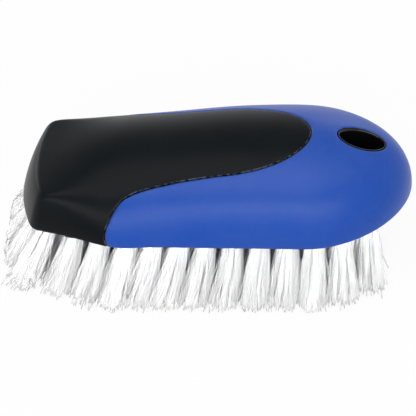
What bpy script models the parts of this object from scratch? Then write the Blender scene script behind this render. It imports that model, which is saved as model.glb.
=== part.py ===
"""Palm grip scrub brush, modelled piece by piece at its real size.

Metres, +Z up, nose towards -X and tail towards +X. The bristle tips lie in the plane Z = 0, and the
rim of the back stands above them. The back is a hollow shell with a soft grip over its nose and along
its crown, a sleeve through its hang hole, and a block below that holds the tufts.
"""

import math

import bmesh
import bpy
from mathutils import Vector
from mathutils.geometry import delaunay_2d_cdt

# The back, seen from above
BODY_LENGTH = 0.160
BODY_HALF_WIDTH = 0.0373
SIDE_STATION_SHARES = (-0.469, -0.375, -0.275, -0.2275, -0.1625, 0.0125, 0.2325)
SIDE_WIDTH_SHARES = (0.663, 0.772, 0.938, 0.964, 0.955, 0.975, 1.0)
NOSE_BULGE = 0.0053
NOSE_CORNER = 0.0066
LEAST_CORNER = 0.0012
TAIL_LENGTH = 0.0427
TAIL_POWER = 1.76

# The back, seen from the side
CROWN_RISE = 0.0302
CROWN_STATION_SHARES = (-0.5, -0.3, -0.1, 0.1, 0.3, 0.5)
CROWN_HEIGHT_SHARES = (0.633, 0.817, 0.904, 1.0, 0.950, 0.615)
CROWN_FALL = 0.0181
NOSE_FALL = 0.0045
FALL_START = 0.010
FALL_END = 0.0373
NOSE_DRAFT = 0.0051
DRAFT_SPAN = 0.040

# The rounding from the wall to the crown
SHOULDER_RADIUS = 0.0125
SHOULDER_POWER = 2.335
NOSE_EDGE_RADIUS = 0.0067
NOSE_BLEND = 0.014
LEAST_RADIUS = 0.0010
NOSE_SPINE = 0.020
TAIL_SPINE = 0.005

# Walls and fits
GRIP_THICKNESS = 0.0018
SHELL_WALL = 0.0020
FIT_GAP = 0.0003
SIDE_BLEND = 0.010
RIB_THICKNESS = 0.0016
RIB_STATION_SHARES = (-0.14, 0.02, 0.26)

# The grip's edge on the shell
GRIP_SIDE_SHARE = -0.2787
GRIP_STATION_SHARES = (-0.269, -0.2196, -0.1118)
GRIP_WIDTH_SHARES = (0.859, 0.668, 0.570)
GRIP_TONGUE_SHARE = 0.0083
GRIP_TONGUE_WIDTH_SHARE = 0.529
GRIP_TIP_SHARE = 0.2413
GRIP_TIP_POWER = 2.05
GRIP_SWEEP = 0.0016
GRIP_SWEEP_HEIGHT = 0.007

# The hang hole and its sleeve
HOLE_FROM_TAIL = 0.0210
HOLE_HALF_LENGTH = 0.0096
HOLE_HALF_WIDTH = 0.0060
SLEEVE_WALL = 0.0012
COLLAR_WALL = 0.0020

# The block and its pegs
BLOCK_THICKNESS = 0.0065
BLOCK_RECESS = 0.0010
BLOCK_TAPER = 0.0022
PEG_RADIUS = 0.0025
PEG_HEIGHT = 0.0055
PEG_STATION_SHARES = (-0.30, 0.17)
PEG_SIDE_SHARE = 0.45
SOCKET_WALL = 0.0020

# The tufts
BRISTLE_REACH = 0.030
TUFT_COUNT = 13
MIDDLE_TUFT_COUNT = 11
CENTRE_TUFT_COUNT = 8
MIDDLE_ROW_SHARE = 0.5
MIDDLE_END_PITCHES = 1.5
TAIL_CLEARANCE = 0.0190
HOLE_CLEARANCE = 0.0098
POCKET_WALL = 0.0007
PLUG_RADIUS = 0.0026
PLUG_DEPTH = 0.0040
STRANDS_ROUND = 6
STRAND_SIDE = 0.0012
STRAND_EDGE = 0.0002
TUFT_CLEARANCE = 0.0004
KNEE_SHARE = 0.25
FLARE_POWER = 0.35
LEAN_POWER = 1.2
OUTER_SPLAY = 0.0075
NOSE_LEAN = -0.0085
TAIL_LEAN = 0.0012
LEAN_STATION_SHARES = (-0.15, 0.40)
NOSE_FAN = -0.0035
FAN_STATION_SHARES = (-0.44, -0.28)

# How finely the round stretches are divided
OVERRUN = 0.004
ARC_STEPS = 5
SIDE_STEPS = 14
TAIL_STEPS = 11
SHOULDER_STEPS = 6
CROWN_STEPS = 4
EDGE_STEPS = 6
TIP_STEPS = 9
SWEEP_STEPS = 3
OVAL_SIDES = 28
PEG_SIDES = 16
PLUG_SIDES = 8
STRAND_SIDES = 3
MERGE_DISTANCE = 0.00001

# Places worked out from the sizes above
HALF_LENGTH = BODY_LENGTH / 2
NOSE_HEIGHT = CROWN_RISE * CROWN_HEIGHT_SHARES[0]
TAIL_X = HALF_LENGTH - TAIL_LENGTH
HOLE_X = HALF_LENGTH - HOLE_FROM_TAIL
GRIP_SIDE_X = BODY_LENGTH * GRIP_SIDE_SHARE
GRIP_TONGUE_X = BODY_LENGTH * GRIP_TONGUE_SHARE
GRIP_TONGUE_HALF_WIDTH = BODY_HALF_WIDTH * GRIP_TONGUE_WIDTH_SHARE
GRIP_TIP_X = BODY_LENGTH * GRIP_TIP_SHARE
RIM_Z = BRISTLE_REACH
BLOCK_FACE_Z = RIM_Z + BLOCK_RECESS
BLOCK_TOP_Z = BLOCK_FACE_Z + BLOCK_THICKNESS
SKY_Z = RIM_Z + CROWN_RISE + OVERRUN
RECESS_DEPTH = GRIP_THICKNESS + FIT_GAP
CAVITY_DEPTH = RECESS_DEPTH + SHELL_WALL
POCKET_RADIUS = PLUG_RADIUS + FIT_GAP
POCKET_DEPTH = PLUG_DEPTH + FIT_GAP
STRAND_REACH = STRAND_SIDE / math.sqrt(3)

BLUE = (0.045, 0.115, 0.480, 1.0)
BLACK = (0.012, 0.014, 0.016, 1.0)
GLOSS_BLACK = (0.006, 0.006, 0.007, 1.0)
BLOCK_WHITE = (0.780, 0.790, 0.800, 1.0)
BRISTLE_WHITE = (0.860, 0.860, 0.860, 1.0)


def clear_scene():
    """Remove every object that the file holds."""
    for thing in list(bpy.data.objects):
        bpy.data.objects.remove(thing, do_unlink=True)


def plastic(name, colour, roughness):
    """A plain plastic of one colour."""
    material = bpy.data.materials.new(name)
    material.use_nodes = True
    shader = material.node_tree.nodes["Principled BSDF"]
    shader.inputs["Base Color"].default_value = colour
    shader.inputs["Roughness"].default_value = roughness
    shader.inputs["Metallic"].default_value = 0.0
    material.diffuse_color = colour
    return material


# Curves and shares


def between(low, high, value):
    """The share of the way from low to high, with soft ends."""
    share = min(max((value - low) / (high - low), 0.0), 1.0)
    return share * share * (3 - 2 * share)


def through(stations, values, place):
    """The height at a place of a smooth curve through the values at the stations."""
    last = len(stations) - 1
    place = min(max(place, stations[0]), stations[last])
    slopes = []
    for i in range(last + 1):
        before, after = max(i - 1, 0), min(i + 1, last)
        slopes.append((values[after] - values[before]) / (stations[after] - stations[before]))
    i = 0
    while i < last - 1 and place > stations[i + 1]:
        i += 1
    span = stations[i + 1] - stations[i]
    t = (place - stations[i]) / span
    rise = (3 - 2 * t) * t * t
    start = slopes[i] * span * t * (1 - t) ** 2
    end = slopes[i + 1] * span * t * t * (1 - t)
    return values[i] + (values[i + 1] - values[i]) * rise + start - end


def round_corner(share, power):
    """The two shares, across and along, of a rounded corner at a share of its turn."""
    turn = share * math.pi / 2
    return math.cos(turn) ** (2 / power), math.sin(turn) ** (2 / power)


def smooth_path(points, steps):
    """Points along a smooth curve through the given points, the given points included."""
    places = [0.0]
    for start, end in zip(points, points[1:]):
        places.append(places[-1] + math.dist(start, end))
    path = []
    for i in range(len(points) - 1):
        for step in range(steps):
            place = places[i] + (places[i + 1] - places[i]) * step / steps
            path.append(tuple(through(places, [p[axis] for p in points], place) for axis in (0, 1)))
    return path + [points[-1]]


# The surface of the back


def side_inset(x, nose_inset, body_inset):
    """How far a wall is drawn in at x: the nose's amount up to the grip's edge, then the body's."""
    return nose_inset + (body_inset - nose_inset) * between(GRIP_SIDE_X, GRIP_SIDE_X + SIDE_BLEND, x)


def half_width(x, nose_inset=0.0, body_inset=0.0):
    """Half the width at x of the back's outline, drawn in by the insets."""
    if x <= TAIL_X:
        share = through(SIDE_STATION_SHARES, SIDE_WIDTH_SHARES, x / BODY_LENGTH)
        return BODY_HALF_WIDTH * share - side_inset(x, nose_inset, body_inset)
    along = min((x - TAIL_X) / (TAIL_LENGTH - body_inset), 1.0)
    return (BODY_HALF_WIDTH - body_inset) * (1 - along ** TAIL_POWER) ** (1 / TAIL_POWER)


def half_outline(nose_inset=0.0, body_inset=0.0):
    """Points of the outline from the middle of the nose round the +Y side to the tip of the tail."""
    front = -HALF_LENGTH + nose_inset
    corner_x = front + NOSE_BULGE
    corner = max(NOSE_CORNER - nose_inset, LEAST_CORNER)
    half = half_width(corner_x, nose_inset, body_inset)
    points = []
    for step in range(ARC_STEPS + 1):
        y = (half - corner) * step / ARC_STEPS
        points.append((front + NOSE_BULGE * (y / half) ** 2, y))
    side_x = corner_x + corner
    start, knee = Vector(points[-1]), Vector((corner_x, half))
    end = Vector((side_x, half_width(side_x, nose_inset, body_inset)))
    for step in range(1, ARC_STEPS):
        t = step / ARC_STEPS
        points.append(tuple(start * (1 - t) ** 2 + knee * (2 * t * (1 - t)) + end * t * t))
    for step in range(SIDE_STEPS + 1):
        x = side_x + (TAIL_X - side_x) * step / SIDE_STEPS
        points.append((x, half_width(x, nose_inset, body_inset)))
    for step in range(1, TAIL_STEPS + 1):
        across, along = round_corner(step / TAIL_STEPS, TAIL_POWER)
        tail_width = (BODY_HALF_WIDTH - body_inset) * across if step < TAIL_STEPS else 0.0
        points.append((TAIL_X + (TAIL_LENGTH - body_inset) * along, tail_width))
    return points


def whole(half_points):
    """The closed outline of a half outline whose ends lie on the centre line."""
    return half_points + [(x, -y) for x, y in reversed(half_points[1:-1])]


def back_height(x, y):
    """Height above the rim of the crown's surface, before its edge is rounded."""
    crown = CROWN_RISE * through(CROWN_STATION_SHARES, CROWN_HEIGHT_SHARES, x / BODY_LENGTH)
    fall = NOSE_FALL + (CROWN_FALL - NOSE_FALL) * between(FALL_START, FALL_END, x + HALF_LENGTH)
    return crown - fall * (y / BODY_HALF_WIDTH) ** 2


def shoulder_radius(x):
    """Radius of the rounding from the wall to the crown, for a wall at x."""
    blend = between(NOSE_BULGE - HALF_LENGTH, NOSE_BULGE - HALF_LENGTH + NOSE_BLEND, x)
    return NOSE_EDGE_RADIUS + (SHOULDER_RADIUS - NOSE_EDGE_RADIUS) * blend


def draft(x, height):
    """How far the nose leans back at a height above the rim."""
    near_nose = min(max((-x - HALF_LENGTH + DRAFT_SPAN) / DRAFT_SPAN, 0.0), 1.0)
    return NOSE_DRAFT * near_nose * height / NOSE_HEIGHT


def dome_rings(nose_inset=0.0, body_inset=0.0, drop=0.0, overrun=0.0):
    """Rings of the back's surface, drawn in by the insets and lowered by the drop, rim to spine."""
    outline = whole(half_outline(nose_inset, body_inset))
    spine_start, spine_end = -HALF_LENGTH + NOSE_SPINE, TAIL_X + TAIL_SPINE
    rings = [[] for _ in range(SHOULDER_STEPS + CROWN_STEPS + 1)]
    for x, y in outline:
        edge = Vector((x, y))
        inward = Vector((min(max(x, spine_start), spine_end), 0.0)) - edge
        reach = inward.length
        inward.normalize()
        radius = max(shoulder_radius(x) - side_inset(x, nose_inset, body_inset), LEAST_RADIUS)
        for step in range(SHOULDER_STEPS + CROWN_STEPS + 1):
            rise = 1.0
            if step <= SHOULDER_STEPS:
                across, rise = round_corner(step / SHOULDER_STEPS, SHOULDER_POWER)
                depth = radius * (1 - across)
            else:
                depth = radius + (reach - radius) * (step - SHOULDER_STEPS) / CROWN_STEPS
            place = edge + inward * depth
            height = (back_height(*place) - drop) * rise
            rings[step].append((place.x + draft(place.x, height), place.y, RIM_Z + height))
    if overrun:
        rings.insert(0, [(x, y, RIM_Z - overrun) for x, y, _ in rings[0]])
    return rings


# Solids


def finish_mesh(name, mesh, material=None):
    """Turn a bmesh into an object whose faces point outwards."""
    bmesh.ops.remove_doubles(mesh, verts=mesh.verts, dist=MERGE_DISTANCE)
    bmesh.ops.recalc_face_normals(mesh, faces=mesh.faces)
    data = bpy.data.meshes.new(name)
    mesh.to_mesh(data)
    mesh.free()
    piece = bpy.data.objects.new(name, data)
    bpy.context.collection.objects.link(piece)
    if material:
        data.materials.append(material)
    return piece


def loft(name, rings, material=None, closed_top=True):
    """A solid through rings of equal counts, with a flat floor and, where it is open, a flat top."""
    mesh = bmesh.new()
    rows = [[mesh.verts.new(point) for point in ring] for ring in rings]
    count = len(rows[0])
    for low, high in zip(rows, rows[1:]):
        for i in range(count):
            j = (i + 1) % count
            mesh.faces.new((low[i], low[j], high[j], high[i]))
    mesh.faces.new(rows[0])
    if closed_top:
        mesh.faces.new(rows[-1])
    return finish_mesh(name, mesh, material)


def prism(name, outline, low, high, material=None):
    """An upright solid on an outline."""
    rings = [[(x, y, z) for x, y in outline] for z in (low, high)]
    return loft(name, rings, material)


def oval(half_length, half_width_y, sides, centre=(0.0, 0.0)):
    """Points of an oval about a centre."""
    turns = [2 * math.pi * i / sides for i in range(sides)]
    return [(centre[0] + half_length * math.cos(a), centre[1] + half_width_y * math.sin(a)) for a in turns]


def hide(piece):
    """Mark a piece as a cutter, which is no part of the brush."""
    piece.hide_render = True
    piece.display_type = "WIRE"
    return piece


def combine(piece, tool, operation):
    """Cut, join or keep what a piece shares with a tool."""
    modifier = piece.modifiers.new(tool.name, "BOOLEAN")
    modifier.operation = operation
    modifier.object = tool
    return piece


# The grip, the shell and the sleeve


def grip_outline(grow=0.0, sweep=0.0):
    """Outline of the grip from above: the whole nose, swept back on the wall, then the tongue."""
    side_x, side_y = GRIP_SIDE_X + grow + sweep, BODY_HALF_WIDTH + OVERRUN
    points = [(side_x, half_width(GRIP_SIDE_X))]
    for station, width in zip(GRIP_STATION_SHARES, GRIP_WIDTH_SHARES):
        points.append((station * BODY_LENGTH + grow, width * BODY_HALF_WIDTH + grow))
    points.append((GRIP_TONGUE_X, GRIP_TONGUE_HALF_WIDTH + grow))
    edge = smooth_path(points, EDGE_STEPS)
    for step in range(1, TIP_STEPS + 1):
        across, along = round_corner(step / TIP_STEPS, GRIP_TIP_POWER)
        y = (GRIP_TONGUE_HALF_WIDTH + grow) * across if step < TIP_STEPS else 0.0
        edge.append((GRIP_TONGUE_X + (GRIP_TIP_X + grow - GRIP_TONGUE_X) * along, y))
    nose_x = -HALF_LENGTH - OVERRUN
    return whole([(nose_x, 0.0), (nose_x, side_y), (side_x, side_y)] + edge)


def grip_field(name, grow=0.0):
    """The upright space over the grip, whose edge sweeps back down the wall towards the rim."""
    levels = [(RIM_Z - OVERRUN, GRIP_SWEEP)]
    for step in range(SWEEP_STEPS + 1):
        share = step / SWEEP_STEPS
        levels.append((RIM_Z + GRIP_SWEEP_HEIGHT * share, GRIP_SWEEP * (1 - share) ** 2))
    levels.append((SKY_Z, 0.0))
    rings = [[(x, y, z) for x, y in grip_outline(grow, sweep)] for z, sweep in levels]
    return hide(loft(name, rings))


def build_grip(material):
    """The soft skin over the nose and along the crown."""
    grip = loft("grip_overmould", dome_rings(), material, closed_top=False)
    field = grip_field("grip_edge_cutter")
    inside = dome_rings(GRIP_THICKNESS, GRIP_THICKNESS, GRIP_THICKNESS, OVERRUN)
    core = hide(loft("grip_core_cutter", inside, closed_top=False))
    combine(grip, field, "INTERSECT")
    return combine(grip, core, "DIFFERENCE")


def build_recess_cutter():
    """What is taken off the shell so that the grip lies flush in it."""
    recess = grip_field("recess_cutter", FIT_GAP)
    kept = dome_rings(RECESS_DEPTH, RECESS_DEPTH, RECESS_DEPTH, OVERRUN * 2)
    core = hide(loft("recess_core_cutter", kept, closed_top=False))
    return combine(recess, core, "DIFFERENCE")


def peg_places():
    """Centres of the block's pegs and the shell's sockets."""
    places = []
    for station in PEG_STATION_SHARES:
        x = station * BODY_LENGTH
        y = PEG_SIDE_SHARE * half_width(x)
        places += [(x, y), (x, -y)]
    return places


def build_cavity_cutter():
    """The hollow of the shell, which leaves its sockets, ribs and collar standing."""
    inside = dome_rings(CAVITY_DEPTH, SHELL_WALL, CAVITY_DEPTH, OVERRUN)
    cavity = hide(loft("cavity_cutter", inside, closed_top=False))
    low = BLOCK_TOP_Z + FIT_GAP
    rings = [("collar", hole_outline(FIT_GAP + COLLAR_WALL))]
    socket_radius = PEG_RADIUS + FIT_GAP + SOCKET_WALL
    for number, centre in enumerate(peg_places(), start=1):
        rings.append((f"socket_{number}", oval(socket_radius, socket_radius, PEG_SIDES, centre)))
    for number, station in enumerate(RIB_STATION_SHARES, start=1):
        x, y = station * BODY_LENGTH, BODY_HALF_WIDTH
        half = RIB_THICKNESS / 2
        rings.append((f"rib_{number}", [(x - half, -y), (x + half, -y), (x + half, y), (x - half, y)]))
    for name, outline in rings:
        combine(cavity, hide(prism(f"{name}_keeper", outline, low, SKY_Z)), "DIFFERENCE")
    return cavity


def hole_outline(grow=0.0):
    """Outline of the hang hole as the shell's crown shows it."""
    return oval(HOLE_HALF_LENGTH + grow, HOLE_HALF_WIDTH + grow, OVAL_SIDES, (HOLE_X, 0.0))


def build_shell(material):
    """The hollow back, with the grip's recess, the hang hole and the sockets for the block's pegs."""
    shell = loft("handle_shell", dome_rings(), material, closed_top=False)
    combine(shell, build_cavity_cutter(), "DIFFERENCE")
    combine(shell, build_recess_cutter(), "DIFFERENCE")
    combine(shell, hide(prism("hole_cutter", hole_outline(FIT_GAP), RIM_Z, SKY_Z)), "DIFFERENCE")
    bore = PEG_RADIUS + FIT_GAP
    top = BLOCK_TOP_Z + PEG_HEIGHT + FIT_GAP
    for number, centre in enumerate(peg_places(), start=1):
        socket = prism(f"socket_cutter_{number}", oval(bore, bore, PEG_SIDES, centre), RIM_Z, top)
        combine(shell, hide(socket), "DIFFERENCE")
    return shell


def build_sleeve(material):
    """The glossy oval sleeve through the hang hole, from the crown to the block's face."""
    sleeve = prism("hang_hole_sleeve", hole_outline(), BLOCK_FACE_Z, SKY_Z, material)
    crown = hide(loft("sleeve_crown_cutter", dome_rings(overrun=OVERRUN), closed_top=False))
    bore = prism("sleeve_bore_cutter", hole_outline(-SLEEVE_WALL), RIM_Z - OVERRUN, SKY_Z + OVERRUN)
    combine(sleeve, crown, "INTERSECT")
    return combine(sleeve, hide(bore), "DIFFERENCE")


# The block and the tufts


def block_insets(share):
    """How far the block's edge stands inside the back's outline, at a share of its thickness."""
    taper = BLOCK_TAPER * share
    return CAVITY_DEPTH + FIT_GAP + taper, SHELL_WALL + FIT_GAP + taper


def tuft_places():
    """Every tuft's name, place, outward splay and side, row by row."""
    nose_edge, body_edge = block_insets(POCKET_DEPTH / BLOCK_THICKNESS)
    to_centre = POCKET_WALL + POCKET_RADIUS
    nose_x = -HALF_LENGTH + draft(-HALF_LENGTH, BLOCK_RECESS + POCKET_DEPTH)
    last_x = HALF_LENGTH - TAIL_CLEARANCE
    places = []

    def first_x(share):
        return nose_x + NOSE_BULGE / 2 * share ** 2 + nose_edge + to_centre

    def outer_y(x):
        return half_width(x, nose_edge + to_centre, body_edge + to_centre)

    def add_pair(row, number, x, share):
        for side_name, side in (("near", -1), ("far", 1)):
            name = f"tuft_{row}_{side_name}_{number:02d}"
            places.append((name, x, side * share * outer_y(x), share * OUTER_SPLAY, side))

    pitch = (last_x - first_x(1.0)) / (TUFT_COUNT - 1)
    for i in range(TUFT_COUNT):
        add_pair("outer", i + 1, first_x(1.0) + pitch * i, 1.0)
    middle_start, middle_end = first_x(MIDDLE_ROW_SHARE), last_x - pitch * MIDDLE_END_PITCHES
    for i in range(MIDDLE_TUFT_COUNT):
        x = middle_start + (middle_end - middle_start) * i / (MIDDLE_TUFT_COUNT - 1)
        add_pair("middle", i + 1, x, MIDDLE_ROW_SHARE)
    centre_start, centre_end = first_x(0.0), HOLE_X - HOLE_HALF_LENGTH - HOLE_CLEARANCE
    for i in range(CENTRE_TUFT_COUNT):
        x = centre_start + (centre_end - centre_start) * i / (CENTRE_TUFT_COUNT - 1)
        places.append((f"tuft_centre_{i + 1:02d}", x, 0.0, 0.0, 1))
    return pitch, places


def build_block(material, places):
    """The tapered plate that holds the tufts, with its pegs and the sleeve's opening."""
    face, top = block_insets(0.0), block_insets(1.0)
    rings = []
    for insets, z in ((face, BLOCK_FACE_Z), (top, BLOCK_TOP_Z)):
        outline = whole(half_outline(*insets))
        rings.append([(x + draft(x, z - RIM_Z), y, z) for x, y in outline])
    block = loft("bristle_block", rings, material)
    clear = FIT_GAP + CAVITY_DEPTH
    room = dome_rings(clear, FIT_GAP + SHELL_WALL, clear, OVERRUN)
    combine(block, hide(loft("block_room_cutter", room, closed_top=False)), "INTERSECT")
    opening = prism("block_hole_cutter", hole_outline(FIT_GAP), RIM_Z - OVERRUN, SKY_Z)
    combine(block, hide(opening), "DIFFERENCE")
    pockets = bmesh.new()
    for _, x, y, _, _ in places:
        outline = oval(POCKET_RADIUS, POCKET_RADIUS, PLUG_SIDES, (x, y))
        floor = [pockets.verts.new((px, py, RIM_Z)) for px, py in outline]
        roof = [pockets.verts.new((px, py, BLOCK_FACE_Z + POCKET_DEPTH)) for px, py in outline]
        for i in range(PLUG_SIDES):
            j = (i + 1) % PLUG_SIDES
            pockets.faces.new((floor[i], floor[j], roof[j], roof[i]))
        pockets.faces.new(floor)
        pockets.faces.new(roof)
    combine(block, hide(finish_mesh("pocket_cutter", pockets)), "DIFFERENCE")
    foot = BLOCK_TOP_Z - (BLOCK_THICKNESS - POCKET_DEPTH) / 2
    for number, centre in enumerate(peg_places(), start=1):
        outline = oval(PEG_RADIUS, PEG_RADIUS, PEG_SIDES, centre)
        peg = prism(f"peg_{number}_joiner", outline, foot, BLOCK_TOP_Z + PEG_HEIGHT)
        combine(block, hide(peg), "UNION")
    return block


def strand_centres(radius):
    """Centres of a tuft's strands: one in the middle and the rest round it."""
    ring = [2 * math.pi * i / STRANDS_ROUND for i in range(STRANDS_ROUND)]
    return [(0.0, 0.0)] + [(radius * math.cos(a), radius * math.sin(a)) for a in ring]


def build_tuft(name, place, lean, splay, side, flare, material):
    """A plug of the backing with its strands, which flare, lean and splay down to their cut tips."""
    root_radius = PLUG_RADIUS - STRAND_REACH - STRAND_EDGE
    corners = [2 * math.pi * i / STRAND_SIDES for i in range(STRAND_SIDES)]
    offsets = [(STRAND_REACH * math.cos(a), STRAND_REACH * math.sin(a)) for a in corners]
    centres = strand_centres(root_radius)
    rim = oval(PLUG_RADIUS, PLUG_RADIUS, PLUG_SIDES)
    flat = list(rim)
    loops = []
    for x, y in centres:
        loops.append(list(range(len(flat), len(flat) + STRAND_SIDES)))
        flat += [(x + dx, y + dy) for dx, dy in offsets]
    rim_edges = [(i, (i + 1) % PLUG_SIDES) for i in range(PLUG_SIDES)]
    cells = delaunay_2d_cdt([Vector(p) for p in flat], rim_edges, loops, 0, MERGE_DISTANCE)
    _, _, faces, sources, _, owners = cells
    mesh = bmesh.new()
    low = [mesh.verts.new((x, side * y, 0.0)) for x, y in flat]
    high = [mesh.verts.new((x, side * y, PLUG_DEPTH)) for x, y in rim]
    for face, owner in zip(faces, owners):
        if not owner:
            mesh.faces.new([low[sources[v][0]] for v in face])
    for i, j in rim_edges:
        mesh.faces.new((low[i], low[j], high[j], high[i]))
    mesh.faces.new(high)
    for (x, y), loop in zip(centres, loops):
        ring = [low[i] for i in loop]
        for share in (KNEE_SHARE, 1.0):
            spread = 1 + (flare / root_radius - 1) * share ** FLARE_POWER
            bend = share ** LEAN_POWER
            middle = (x * spread + lean * bend, y * spread + splay * bend)
            z = -BLOCK_FACE_Z * share
            points = [(middle[0] + dx, side * (middle[1] + dy), z) for dx, dy in offsets]
            below = [mesh.verts.new(point) for point in points]
            for i in range(STRAND_SIDES):
                j = (i + 1) % STRAND_SIDES
                mesh.faces.new((ring[i], ring[j], below[j], below[i]))
            ring = below
        mesh.faces.new(ring)
    tuft = finish_mesh(name, mesh, material)
    tuft.location = (place[0], place[1], BLOCK_FACE_Z)
    return tuft


def build_tufts(material, pitch, places):
    """Every tuft, leaning towards the nose, the foremost more so and those near the tail less."""
    flare = (pitch - TUFT_CLEARANCE) / 2 - STRAND_REACH
    low, high = (share * BODY_LENGTH for share in LEAN_STATION_SHARES)
    fan_low, fan_high = (share * BODY_LENGTH for share in FAN_STATION_SHARES)
    tufts = []
    for name, x, y, splay, side in places:
        lean = NOSE_LEAN + (TAIL_LEAN - NOSE_LEAN) * between(low, high, x)
        lean += NOSE_FAN * (1 - between(fan_low, fan_high, x))
        tufts.append(build_tuft(name, (x, y), lean, splay, side, flare, material))
    return tufts


def main():
    """Build the brush and stand it with the middle of its footprint at the origin."""
    clear_scene()
    pitch, places = tuft_places()
    pieces = [
        build_shell(plastic("blue_plastic", BLUE, 0.42)),
        build_grip(plastic("black_grip", BLACK, 0.55)),
        build_sleeve(plastic("gloss_black", GLOSS_BLACK, 0.15)),
        build_block(plastic("block_white", BLOCK_WHITE, 0.50), places),
    ]
    tufts = build_tufts(plastic("bristle_white", BRISTLE_WHITE, 0.45), pitch, places)
    brush = bpy.data.objects.new("scrub_brush", None)
    bpy.context.collection.objects.link(brush)
    ends = [tuft.location.x + vertex.co.x for tuft in tufts for vertex in tuft.data.vertices]
    brush.location.x = -(min(ends + [-HALF_LENGTH]) + max(ends + [HALF_LENGTH])) / 2
    for thing in list(bpy.data.objects):
        if thing != brush:
            thing.parent = brush


main()
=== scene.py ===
"""Looks of a palm grip scrub brush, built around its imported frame.

A moulded blue shell carries a soft black grip over its nose and along its crown, a glossy oval sleeve
through its hang hole, and below it a block with rows of bristle tufts. Metres, +Z up, the nose towards
-X and the tail towards +X, the bristle tips in the plane Z = 0.
"""

from __future__ import annotations

import logging
import math
from dataclasses import dataclass
from enum import Enum
from typing import Mapping, Optional, Sequence, Union

import bpy
import numpy as np
from mathutils import Matrix, Vector, kdtree
from mathutils.geometry import delaunay_2d_cdt


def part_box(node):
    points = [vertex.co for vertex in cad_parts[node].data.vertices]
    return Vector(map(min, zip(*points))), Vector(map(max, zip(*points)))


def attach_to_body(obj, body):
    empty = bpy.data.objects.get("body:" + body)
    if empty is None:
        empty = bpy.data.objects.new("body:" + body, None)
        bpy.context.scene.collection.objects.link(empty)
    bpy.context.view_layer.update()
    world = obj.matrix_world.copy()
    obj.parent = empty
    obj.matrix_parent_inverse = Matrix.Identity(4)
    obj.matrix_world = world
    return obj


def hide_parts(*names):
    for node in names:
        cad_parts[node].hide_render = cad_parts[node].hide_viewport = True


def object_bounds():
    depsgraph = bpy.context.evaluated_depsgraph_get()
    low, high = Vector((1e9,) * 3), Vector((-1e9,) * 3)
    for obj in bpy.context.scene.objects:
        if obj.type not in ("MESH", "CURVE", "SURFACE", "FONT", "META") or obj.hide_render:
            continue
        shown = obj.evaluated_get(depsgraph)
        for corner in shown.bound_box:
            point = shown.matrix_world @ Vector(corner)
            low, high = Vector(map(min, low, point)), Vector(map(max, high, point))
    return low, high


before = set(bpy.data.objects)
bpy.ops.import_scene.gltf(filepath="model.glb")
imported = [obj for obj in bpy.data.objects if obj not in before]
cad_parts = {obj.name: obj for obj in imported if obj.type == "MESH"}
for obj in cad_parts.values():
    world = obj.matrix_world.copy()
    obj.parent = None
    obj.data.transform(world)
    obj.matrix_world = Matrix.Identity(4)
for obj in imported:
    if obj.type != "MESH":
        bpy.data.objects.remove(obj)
CAD_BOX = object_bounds()
LOG = logging.getLogger("scrub_brush")

BODY = "root"
TINY = 1e-9
MERGE_STEP = 1e-7
LEAST_MITRE = 0.5
NOISE_MIDDLE = 0.5
GOLDEN_TURN = math.pi * (3 - math.sqrt(5))
WHITE = (1.0, 1.0, 1.0)


# Node trees written as Python expressions


class Wire:
    """An output socket on which Python operators build maths nodes."""

    def __init__(self, board: Board, socket: bpy.types.NodeSocket) -> None:
        """Keep the tree and the socket.

        Args:
            board: The tree that the socket belongs to.
            socket: The output socket.
        """
        self.board = board
        self.socket = socket

    @property
    def is_vector(self) -> bool:
        """Whether the socket carries a vector."""
        return self.socket.type == "VECTOR"

    def __add__(self, other: Value) -> Wire:
        """The sum of two values."""
        return self.board.maths("ADD", self, other)

    def __radd__(self, other: Value) -> Wire:
        """The sum of two values."""
        return self.board.maths("ADD", other, self)

    def __sub__(self, other: Value) -> Wire:
        """The difference of two values."""
        return self.board.maths("SUBTRACT", self, other)

    def __rsub__(self, other: Value) -> Wire:
        """The difference of two values."""
        return self.board.maths("SUBTRACT", other, self)

    def __mul__(self, other: Value) -> Wire:
        """The product of two values."""
        return self.board.maths("MULTIPLY", self, other)

    def __rmul__(self, other: Value) -> Wire:
        """The product of two values."""
        return self.board.maths("MULTIPLY", other, self)

    def __truediv__(self, other: Value) -> Wire:
        """The quotient of two values."""
        return self.board.maths("DIVIDE", self, other)

    def __pow__(self, other: Value) -> Wire:
        """The first value to the power of the second."""
        return self.board.maths("POWER", self, other)


Value = Union[Wire, float, Sequence[float]]
Setting = Union[str, float, bool]


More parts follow.
